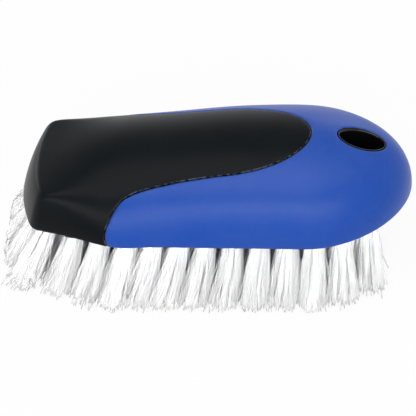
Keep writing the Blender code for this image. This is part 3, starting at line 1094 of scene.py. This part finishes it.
@dataclass
class Back:
    """The shell, the soft grip and the sleeve of the hang hole."""

    form: BackForm
    grip_thickness: float = 0.0018
    shell_wall: float = 0.0020
    fit_gap: float = 0.0003
    side_blend: float = 0.010
    grip_side_share: float = -0.2787
    grip_station_shares: tuple[float, ...] = (-0.269, -0.2196, -0.1118)
    grip_width_shares: tuple[float, ...] = (0.859, 0.668, 0.570)
    tongue_share: float = 0.0083
    tongue_width_share: float = 0.529
    tip_share: float = 0.2413
    tip_power: float = 2.05
    grip_sweep: float = 0.0016
    grip_sweep_height: float = 0.007
    hole_from_tail: float = 0.0210
    hole_half_length: float = 0.0096
    hole_half_width: float = 0.0060
    sleeve_wall: float = 0.0012
    sleeve_sink: float = 0.00005
    sleeve_outer_round: float = 0.0003
    sleeve_flare_width: float = 0.00112
    sleeve_flare_depth: float = 0.0040
    block_recess: float = 0.0010
    grip_edge_round: float = 0.0007
    shell_edge_round: float = 0.0006
    mesh_spacing: float = 0.0013
    seat_coarseness: float = 1.6
    edge_spacing: float = 0.0007
    seam_steps: int = 60
    sleeve_sides: int = 96
    round_steps: int = 6
    lip_steps: int = 12
    sharp_angle: float = math.radians(38)

    @property
    def recess(self) -> float:
        """How deep the grip's seat lies below the back's surface."""
        return self.grip_thickness + self.fit_gap

    def seam(self, grow: float) -> np.ndarray:
        """The grip's edge on the +Y side, from the rim to the tip of the tongue.

        Args:
            grow: How far outside the grip's own edge the line runs.

        Returns:
            Its points in the layout.
        """
        form = self.form
        side_x = self.grip_side_share * form.length
        points = [(side_x + grow, float(form.width_at(np.array(side_x))))]
        for station, width in zip(self.grip_station_shares, self.grip_width_shares):
            points.append((station * form.length + grow, width * form.half_width + grow))
        tongue_x = self.tongue_share * form.length
        tongue_y = self.tongue_width_share * form.half_width + grow
        corners = np.array(points + [(tongue_x, tongue_y)])
        run = np.concatenate(([0.0], np.cumsum(np.linalg.norm(np.diff(corners, axis=0), axis=1))))
        at = np.linspace(0.0, run[-1], self.seam_steps * len(corners))
        path = np.column_stack([through(run, corners[:, axis], at) for axis in (0, 1)])
        turn = np.linspace(0.0, math.pi / 2, self.seam_steps)[1:]
        reach = self.tip_share * form.length + grow - tongue_x
        tip = np.column_stack([
            tongue_x + reach * np.sin(turn) ** (2 / self.tip_power),
            tongue_y * np.maximum(np.cos(turn), 0.0) ** (2 / self.tip_power),
        ])
        tip[-1, 1] = 0.0
        line = form.unroll(np.vstack([path, tip]))
        start_x = side_x + grow
        line[0] = (start_x, float(form.width_at(np.array(start_x))) + form.wall_span)
        height = form.surface(line)[:, 2] - form.rim_z
        line[:, 0] += self.grip_sweep * np.clip(1 - height / self.grip_sweep_height, 0.0, 1.0) ** 2
        line[0, 1] = float(form.width_at(line[0, 0])) + form.wall_span
        return resample(line, self.edge_spacing)

    def rim_line(self, seam_x: float) -> tuple[np.ndarray, np.ndarray]:
        """The rim on the +Y side, split where the seam meets it.

        Args:
            seam_x: Where the seam meets the rim.

        Returns:
            The rim's places in the layout from the nose to the seam and from the seam to the tail.
        """
        outline = self.form.half_outline()
        joint = np.array([[seam_x, float(self.form.width_at(np.array(seam_x)))]])
        nose = np.vstack([outline[outline[:, 0] < seam_x - self.form.probe], joint])
        tail = np.vstack([joint, outline[outline[:, 0] > seam_x + self.form.probe]])
        return (
            resample(self.form.rim(nose), self.edge_spacing),
            resample(self.form.rim(tail), self.edge_spacing),
        )

    def loops(self, grow: float) -> tuple[np.ndarray, np.ndarray, np.ndarray]:
        """The outlines of the grip's field and of the bare field behind it.

        Args:
            grow: How far outside the grip's own edge the line between them runs.

        Returns:
            The grip's loop, the bare field's loop and the line between them.
        """
        seam = self.seam(grow)
        nose, tail = self.rim_line(float(seam[0, 0]))
        flip = np.array([1.0, -1.0])
        seam_line = np.vstack([seam, (seam * flip)[-2::-1]])
        grip = np.vstack([nose[::-1], (nose * flip)[1:], (seam * flip)[1:], seam[-2:0:-1]])
        bare = np.vstack([tail * flip, tail[-2::-1], seam[1:], (seam * flip)[-2:0:-1]])
        return grip, bare, seam_line

    def oval(self, grow: float, sides: int) -> np.ndarray:
        """Points round the hang hole, seen from above.

        Args:
            grow: How far outside the hole's edge they lie.
            sides: Their number.

        Returns:
            The points.
        """
        turns = 2 * math.pi * np.arange(sides) / sides
        centre_x = self.form.length / 2 - self.hole_from_tail
        return np.column_stack([
            centre_x + (self.hole_half_length + grow) * np.cos(turns),
            (self.hole_half_width + grow) * np.sin(turns),
        ])

    def inner_offset(self, sheet: Sheet) -> np.ndarray:
        """How far below the back's surface the shell's inner face lies, as a negative offset.

        Args:
            sheet: The sheet that it is needed for.

        Returns:
            The offset at each point of the sheet.
        """
        deep = self.recess + self.shell_wall
        side_x = self.grip_side_share * self.form.length
        behind_grip = between(side_x, side_x + self.side_blend, sheet.layout[:, 0])
        at_rim = deep + (self.shell_wall - deep) * behind_grip
        share = self.form.wall_share(sheet.layout)
        return -(deep + (at_rim - deep) * share)

    def build_shell(self) -> bpy.types.Object:
        """The blue shell, with the grip's seat and the hang hole.

        Returns:
            The piece.
        """
        seat_loop, bare_loop, line = self.loops(self.fit_gap)
        hole = self.form.unroll(self.oval(self.fit_gap, self.sleeve_sides))[::-1]
        bare = Sheet(self.form, [bare_loop, hole], self.shell_edge_round, self.mesh_spacing)
        seat = Sheet(self.form, [seat_loop], 0.0, self.mesh_spacing * self.seat_coarseness)
        builder = WallBuilder(self.form)
        builder.add(bare, 0.0, self.inner_offset(bare), Step(line, -self.recess, True))
        builder.add(seat, -self.recess, self.inner_offset(seat), Step(line, -self.recess, False))
        return builder.build("blue_shell", Finish.BLUE_PLASTIC.value.dress(), self.sharp_angle)

    def build_grip(self) -> bpy.types.Object:
        """The soft skin over the nose and the tongue along the crown.

        Returns:
            The piece.
        """
        loop, _, _ = self.loops(0.0)
        sheet = Sheet(self.form, [loop], self.grip_edge_round, self.mesh_spacing)
        builder = WallBuilder(self.form)
        builder.add(sheet, 0.0, np.full(len(sheet.layout), -self.grip_thickness))
        return builder.build("soft_grip", Finish.BLACK_GRIP.value.dress(), self.sharp_angle)

    def build_sleeve(self) -> bpy.types.Object:
        """The glossy sleeve through the hang hole, with its lip rounded into the bore.

        Returns:
            The piece.
        """
        outer, width, depth = self.sleeve_outer_round, self.sleeve_flare_width, self.sleeve_flare_depth
        wall, sides = self.sleeve_wall, self.sleeve_sides
        profile = []
        for turn in np.linspace(0.0, math.pi / 2, self.round_steps)[:-1]:
            profile.append(((width - wall) * (1 - math.cos(turn)), outer * (1 - math.sin(turn))))
        for turn in np.linspace(math.pi / 2, 0.0, self.lip_steps):
            profile.append((-wall + width * (1 - math.cos(turn)), depth * (1 - math.sin(turn))))
        foot = self.form.rim_z + self.block_recess
        rings = []
        for grow, drop in profile:
            oval = self.oval(grow, sides)
            top = self.form.surface(self.form.unroll(oval))[:, 2] - (self.sleeve_sink + drop)
            rings.append(np.column_stack([oval[:, 0] + self.form.shift, oval[:, 1], top]))
        for grow, rise in ((-wall, outer), (-wall + outer, 0.0), (-outer, 0.0), (0.0, outer)):
            oval = self.oval(grow, sides)
            level = np.full(sides, foot + rise)
            rings.append(np.column_stack([oval[:, 0] + self.form.shift, oval[:, 1], level]))
        faces = []
        for ring in range(len(rings)):
            near, far = ring * sides, (ring + 1) % len(rings) * sides
            for i in range(sides):
                j = (i + 1) % sides
                faces.append((near + i, near + j, far + j, far + i))
        finish = Finish.GLOSS_BLACK.value.dress()
        return new_piece("hang_sleeve", np.vstack(rings), faces, finish, self.sharp_angle)

    def build(self) -> None:
        """Build the three pieces and put them in place of their nodes."""
        attach(self.build_shell(), ["handle_shell"])
        attach(self.build_grip(), ["grip_overmould"])
        attach(self.build_sleeve(), ["hang_hole_sleeve"])


# The block and its tufts


class TuftBoard(Board):
    """A geometry tree that reads its own inputs, draws chances and keeps values on points."""

    def __init__(self, tree: bpy.types.NodeTree) -> None:
        """Keep the tree and add what its nodes read.

        Args:
            tree: The tree, with its inputs.
        """
        super().__init__(tree)
        self.given = self.add("NodeGroupInput")
        self.point_number = self.wire("GeometryNodeInputIndex")

    def named(self, name: str) -> Wire:
        """One of the tree's own inputs."""
        return Wire(self, self.given.outputs[name])

    def chance(self, low: Value, high: Value, salt: int) -> Wire:
        """A random value for each point, a vector where its limits are vectors.

        Args:
            low: The least value.
            high: The greatest value.
            salt: What sets this draw apart from the others.

        Returns:
            The value.
        """
        vector = isinstance(low, tuple)
        first = 0 if vector else 2
        seed = self.named("Seed") + float(salt)
        values = {first: low, first + 1: high, "ID": self.point_number, "Seed": seed}
        settings = {"data_type": "FLOAT_VECTOR" if vector else "FLOAT"}
        return self.wire("FunctionNodeRandomValue", settings, values, output=0 if vector else 1)

    def sideways(self, salt: int) -> Wire:
        """A random level vector, up to 1 each way."""
        return self.chance((-1.0, -1.0, 0.0), (1.0, 1.0, 0.0), salt)

    def note(self, geometry: Wire, name: str, value: Wire) -> Wire:
        """The geometry with a value kept on its points.

        Args:
            geometry: The geometry.
            name: The value's name.
            value: The value.

        Returns:
            The geometry.
        """
        settings = {"data_type": "FLOAT_VECTOR" if value.is_vector else "FLOAT"}
        values = {"Geometry": geometry, "Name": name, "Value": value}
        return self.wire("GeometryNodeStoreNamedAttribute", settings, values)

    def recall(self, name: str, kind: str = "FLOAT_VECTOR") -> Wire:
        """A value kept on the points."""
        return self.wire("GeometryNodeInputNamedAttribute", {"data_type": kind}, {"Name": name})


@dataclass
class BristleField:
    """The tufts of the block, each a bundle of fine filaments.

    A tuft stands where its node's plug is and leans as that node leans. Its filaments start as a round
    bundle in their pocket, which the first start_share of each one fills, and spread, lean, wander and
    bow from there to their cut tips. A power bends how a value rises along a filament or how seldom a
    chance is great.
    """

    filaments: int = 310
    filament_radius: float = 0.00020
    filament_sides: int = 3
    filament_rings: int = 8
    root_radius: float = 0.0024
    pocket_depth: float = 0.0030
    tip_radius: float = 0.0067
    flare_power: float = 0.62
    lean_power: float = 1.15
    nose_splay: float = 1.35
    nose_reach: float = 0.020
    ragged: float = 0.0036
    tip_scatter: float = 0.0012
    stray: float = 0.0080
    bow: float = 0.0019
    start_share: float = 0.08
    along_power: float = 1.5
    wander_power: float = 1.6
    stray_power: float = 9.0
    ragged_power: float = 1.4
    bow_power: float = 3.0
    turn_scatter: float = 0.9
    thickest: float = 1.12
    thickness_spread: float = 0.24
    seed: int = 11
    row_salt: int = 20
    stray_margin: tuple[float, float, float] = (0.0046, 0.0023, 0.0)
    level_band: float = 0.0002

    def tufts(self, names: Sequence[str]) -> tuple[np.ndarray, np.ndarray]:
        """The roots and leans of tufts.

        Args:
            names: The tufts' nodes.

        Returns:
            The middle of each plug on the block's face, and the way from there to the tips seen from above.
        """
        block_low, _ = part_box("bristle_block")
        roots, leans = [], []
        for name in names:
            points = np.array([v.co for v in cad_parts[name].data.vertices])
            top = points[points[:, 2] > points[:, 2].max() - self.level_band].mean(axis=0)
            foot = points[points[:, 2] < points[:, 2].min() + self.level_band].mean(axis=0)
            splay = 1.0 + (self.nose_splay - 1.0) * max(0.0, 1.0 - (top[0] - block_low.x) / self.nose_reach)
            roots.append((top[0], top[1], block_low.z))
            leans.append(((foot[0] - top[0]) * splay, foot[1] - top[1], 0.0))
        return np.array(roots), np.array(leans)

    def sizes(self) -> dict[str, float]:
        """The sizes that the tree takes as inputs.

        Returns:
            Each input's name and value.
        """
        return {
            "Filament Radius": self.filament_radius, "Root Radius": self.root_radius,
            "Tip Radius": self.tip_radius, "Flare Power": self.flare_power, "Lean Power": self.lean_power,
            "Ragged": self.ragged, "Tip Scatter": self.tip_scatter, "Stray": self.stray, "Bow": self.bow,
        }

    def tree(self) -> bpy.types.NodeTree:
        """The node tree that grows the filaments from one point for each tuft.

        Returns:
            The tree.
        """
        tree = bpy.data.node_groups.new("bristle_filaments", "GeometryNodeTree")
        kinds = {
            "Geometry": "NodeSocketGeometry", "Filaments": "NodeSocketInt", "Material": "NodeSocketMaterial",
            "Low Corner": "NodeSocketVector", "High Corner": "NodeSocketVector",
        }
        kinds.update(dict.fromkeys([*self.sizes(), "Reach", "Seed"], "NodeSocketFloat"))
        for name, kind in kinds.items():
            tree.interface.new_socket(name, in_out="INPUT", socket_type=kind)
        tree.interface.new_socket("Geometry", in_out="OUTPUT", socket_type="NodeSocketGeometry")
        board = TuftBoard(tree)
        tubes = self.draw_filaments(board, self.scatter_filaments(board))
        board.add("NodeGroupOutput", None, {"Geometry": tubes})
        return tree

    def scatter_filaments(self, board: TuftBoard) -> Wire:
        """Make a point for each filament and keep on it what is that filament's own.

        Args:
            board: The tree.

        Returns:
            The points.
        """
        points = board.wire("GeometryNodeMeshToPoints", None, {"Mesh": board.named("Geometry")})
        copied = board.add(
            "GeometryNodeDuplicateElements", {"domain": "POINT"},
            {"Geometry": points, "Amount": board.named("Filaments")},
        )
        number = Wire(board, copied.outputs["Duplicate Index"])
        turn = number * GOLDEN_TURN + board.chance(0.0, self.turn_scatter, 1)
        reach = ((number + 0.5) / board.named("Filaments")) ** 0.5
        disc = board.wire("ShaderNodeCombineXYZ", None, {
            "X": board.maths("COSINE", turn) * reach, "Y": board.maths("SINE", turn) * reach, "Z": 0.0,
        })
        wild = board.chance(0.0, 1.0, 2) ** self.stray_power
        stray = board.sideways(3) * (wild * board.named("Stray"))
        scatter = board.sideways(4) * board.named("Tip Scatter")
        bow = board.sideways(5) * board.named("Bow")
        own = {
            "spread": disc,
            "wander": stray + scatter,
            "bow": bow * board.chance(0.0, 1.0, 7) ** self.bow_power,
            "cut": board.chance(0.0, 1.0, 6) ** self.ragged_power * board.named("Ragged"),
            "tone": board.chance(0.0, 1.0, 8),
            "root": board.wire("GeometryNodeInputPosition"),
        }
        bundle = Wire(board, copied.outputs["Geometry"])
        for name, value in own.items():
            bundle = board.note(bundle, name, value)
        return bundle

    def draw_filaments(self, board: TuftBoard, bundle: Wire) -> Wire:
        """Draw a line from each point, bend it and give it its thickness.

        Args:
            board: The tree.
            bundle: A point for each filament.

        Returns:
            The filaments' meshes, with their material.
        """
        line = board.wire("GeometryNodeCurvePrimitiveLine", {"mode": "POINTS"}, {
            "Start": (0.0, 0.0, 0.0), "End": (0.0, 0.0, 1.0),
        })
        line = board.wire("GeometryNodeResampleCurve", None, {"Curve": line, "Count": self.filament_rings})
        strands = board.wire("GeometryNodeInstanceOnPoints", None, {"Points": bundle, "Instance": line})
        strands = board.wire("GeometryNodeRealizeInstances", None, {"Geometry": strands})
        factor = board.wire("GeometryNodeSplineParameter", output="Factor")
        start = self.start_share
        share = board.maths("MAXIMUM", factor * (1.0 + start) - start, 0.0) ** self.along_power
        flare = board.named("Tip Radius") - board.named("Root Radius")
        radius = board.named("Root Radius") + flare * share ** board.named("Flare Power")
        lean = board.recall("lean") * share ** board.named("Lean Power")
        wander = board.recall("wander") * share ** self.wander_power
        arch = board.recall("bow") * board.maths("SINE", share * math.pi)
        drop = board.named("Reach") - board.recall("cut", "FLOAT")
        inset = board.maths("MAXIMUM", start - factor, 0.0) * (self.pocket_depth / start)
        down = board.wire("ShaderNodeCombineXYZ", None, {"X": 0.0, "Y": 0.0, "Z": inset - drop * share})
        free = board.recall("root") + board.recall("spread") * radius + lean + wander + arch + down
        place = board.maths("MINIMUM", free, board.named("High Corner"))
        place = board.maths("MAXIMUM", place, board.named("Low Corner"))
        strands = board.wire("GeometryNodeSetPosition", None, {"Geometry": strands, "Position": place})
        strands = board.note(strands, "along", share)
        thinning = self.thickest - board.recall("tone", "FLOAT") * self.thickness_spread
        section = board.wire("GeometryNodeCurvePrimitiveCircle", {"mode": "RADIUS"}, {
            "Resolution": self.filament_sides, "Radius": 1.0,
        })
        tubes = board.wire("GeometryNodeCurveToMesh", None, {
            "Curve": strands, "Profile Curve": section, "Scale": board.named("Filament Radius") * thinning,
            "Fill Caps": True,
        })
        tubes = board.wire("GeometryNodeSetShadeSmooth", None, {"Geometry": tubes})
        tubes = board.wire("GeometryNodeRealizeInstances", None, {"Geometry": tubes})
        values = {"Geometry": tubes, "Material": board.named("Material")}
        return board.wire("GeometryNodeSetMaterial", None, values)

    def grow(
        self,
        name: str,
        nodes: Sequence[str],
        tree: bpy.types.NodeTree,
        material: bpy.types.Material,
        salt: int,
    ) -> bpy.types.Object:
        """Grow the filaments of a row of tufts.

        Args:
            name: The piece's name.
            nodes: The tufts' nodes.
            tree: The node tree.
            material: The filaments' material.
            salt: What makes this row's chances its own.

        Returns:
            The piece, a plain mesh.
        """
        roots, leans = self.tufts(nodes)
        base = bpy.data.meshes.new(name + "_roots")
        base.from_pydata([tuple(p) for p in roots], [], [])
        base.attributes.new("lean", "FLOAT_VECTOR", "POINT").data.foreach_set("vector", leans.ravel())
        host = new_object(name + "_roots", base)
        modifier = host.modifiers.new("filaments", "NODES")
        modifier.node_group = tree
        low, high = (Vector(corner) for corner in CAD_BOX)
        margin = Vector(self.stray_margin) - Vector([self.filament_radius] * 3)
        values = {
            **self.sizes(), "Reach": float(roots[0, 2]) - self.filament_radius,
            "Seed": float(self.seed + salt), "Filaments": self.filaments, "Material": material,
            "Low Corner": tuple(low - margin), "High Corner": tuple(high + margin),
        }
        for item in tree.interface.items_tree:
            if item.in_out == "INPUT" and item.name in values:
                modifier[item.identifier] = values[item.name]
        bpy.context.view_layer.update()
        grown = host.evaluated_get(bpy.context.evaluated_depsgraph_get())
        mesh = bpy.data.meshes.new_from_object(grown)
        bpy.data.objects.remove(host, do_unlink=True)
        return new_object(name, mesh)

    def build(self) -> None:
        """Grow every row and put it in place of its nodes, and dress the block."""
        tree = self.tree()
        material = Finish.BRISTLE_WHITE.value.dress()
        rows: dict[str, list[str]] = {}
        for node in sorted(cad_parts):
            if node.startswith("tuft_"):
                rows.setdefault(node.rsplit("_", 1)[0], []).append(node)
        for salt, (row, nodes) in enumerate(sorted(rows.items())):
            name = row.replace("tuft", "bristles")
            attach(self.grow(name, nodes, tree, material, salt * self.row_salt), nodes)
        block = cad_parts["bristle_block"]
        block.data.materials.clear()
        block.data.materials.append(Finish.BLOCK_WHITE.value.dress())
        LOG.info("bristle_block: dressed")


# The studio


@dataclass(frozen=True)
class Softbox:
    """A soft rectangular lamp that points at a target. Lengths are in metres, and the power is in watts."""

    name: str
    place: tuple[float, float, float]
    size: tuple[float, float]
    power: float
    target: tuple[float, float, float] = (0.0, 0.0, 0.03)

    def build(self) -> None:
        """Hang the lamp."""
        light = bpy.data.lights.new(self.name, "AREA")
        light.shape = "RECTANGLE"
        light.size, light.size_y = self.size
        light.energy = self.power
        lamp = new_object(self.name, light)
        turn = (Vector(self.place) - Vector(self.target)).to_track_quat("Z", "Y")
        lamp.matrix_world = Matrix.Translation(self.place) @ turn.to_matrix().to_4x4()


@dataclass
class Studio:
    """The floor, the lamps, the surroundings and the camera at the photograph's viewing angle.

    Angles are in degrees, and lengths in metres. The camera looks past the middle of the back.
    """

    middle_x: float
    azimuth: float = 3.0
    elevation: float = 42.68
    roll: float = 2.5
    distance: float = 0.700
    target_z: float = 0.044
    aim_left: float = 0.00311
    aim_down: float = 0.01913
    lens: float = 149.0
    sensor: float = 36.0
    floor_size: float = 6.0
    surroundings: float = 0.52
    backdrop_band: tuple[float, float] = (0.25, 0.60)
    softboxes: tuple[Softbox, ...] = (
        Softbox("key_softbox", (-0.10, -0.18, 1.00), (0.90, 0.70), 3.6),
        Softbox("front_softbox", (-0.04, -0.90, 0.52), (1.40, 0.24), 4.6),
        Softbox("back_softbox", (0.40, 0.90, 0.38), (0.50, 0.40), 0.6),
        Softbox("nose_softbox", (-0.66, 0.66, 0.16), (0.50, 0.30), 1.2),
    )

    def build_camera(self) -> None:
        """Place the camera."""
        azimuth, elevation, roll = (math.radians(v) for v in (self.azimuth, self.elevation, self.roll))
        back = Vector((
            math.sin(azimuth) * math.cos(elevation),
            -math.cos(azimuth) * math.cos(elevation),
            math.sin(elevation),
        ))
        level = Vector((math.cos(azimuth), math.sin(azimuth), 0.0))
        upright = back.cross(level)
        right = level * math.cos(roll) - upright * math.sin(roll)
        up = level * math.sin(roll) + upright * math.cos(roll)
        target = Vector((self.middle_x, 0.0, self.target_z))
        eye = target + back * self.distance
        aim = target - right * self.aim_left - up * self.aim_down
        back = (eye - aim).normalized()
        right = up.cross(back).normalized()
        up = back.cross(right)
        camera = bpy.data.cameras.new("camera")
        camera.sensor_width = self.sensor
        camera.lens = self.lens
        camera.dof.use_dof = False
        rig = new_object("camera", camera)
        rig.matrix_world = Matrix.Translation(eye) @ Matrix((right, up, back)).transposed().to_4x4()
        bpy.context.scene.camera = rig

    def build_floor(self) -> None:
        """Lay the floor that the brush stands on."""
        half = self.floor_size / 2
        corners = [(-half, -half, 0.0), (half, -half, 0.0), (half, half, 0.0), (-half, half, 0.0)]
        floor = new_piece("floor", corners, [(0, 1, 2, 3)], Finish.FLOOR.value.dress(), math.pi)

    def build_surroundings(self) -> None:
        """Light the scene evenly from all round, with white where it is seen directly."""
        world = bpy.data.worlds.new("surroundings")
        world.use_nodes = True
        bpy.context.scene.world = world
        board = Board(world.node_tree)
        background = board.tree.nodes["Background"]
        direction = board.wire("ShaderNodeTexCoord", output="Generated")
        height = board.wire("ShaderNodeSeparateXYZ", None, {"Vector": direction}, output="Z")
        above = board.between(*self.backdrop_band, height)
        path = board.add("ShaderNodeLightPath")
        mirrored = Wire(board, path.outputs["Is Glossy Ray"]) * (1.0 - above)
        seen = board.maths("MAXIMUM", Wire(board, path.outputs["Is Camera Ray"]), mirrored)
        seen = board.maths("MAXIMUM", Wire(board, path.outputs["Is Transmission Ray"]), seen)
        strength = self.surroundings + seen * (1.0 - self.surroundings)
        board.feed(background.inputs["Color"], rgba(WHITE))
        board.feed(background.inputs["Strength"], strength)

    def build(self) -> None:
        """Set up the whole studio."""
        self.build_camera()
        self.build_floor()
        self.build_surroundings()
        for softbox in self.softboxes:
            softbox.build()
        bpy.context.scene.view_settings.view_transform = "Standard"
        LOG.info("studio: %d lamps", len(self.softboxes))


def main() -> None:
    """Build the looks in order: the studio, the back with its grip and sleeve, and the bristles."""
    logging.basicConfig(level=logging.INFO, format="%(name)s: %(message)s")
    shell_low, shell_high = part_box("handle_shell")
    form = BackForm(shift=shell_high.x - BackForm.length / 2, rim_z=shell_low.z)
    Studio(form.shift).build()
    Back(form).build()
    BristleField().build()


if __name__ == "__main__":
    main()
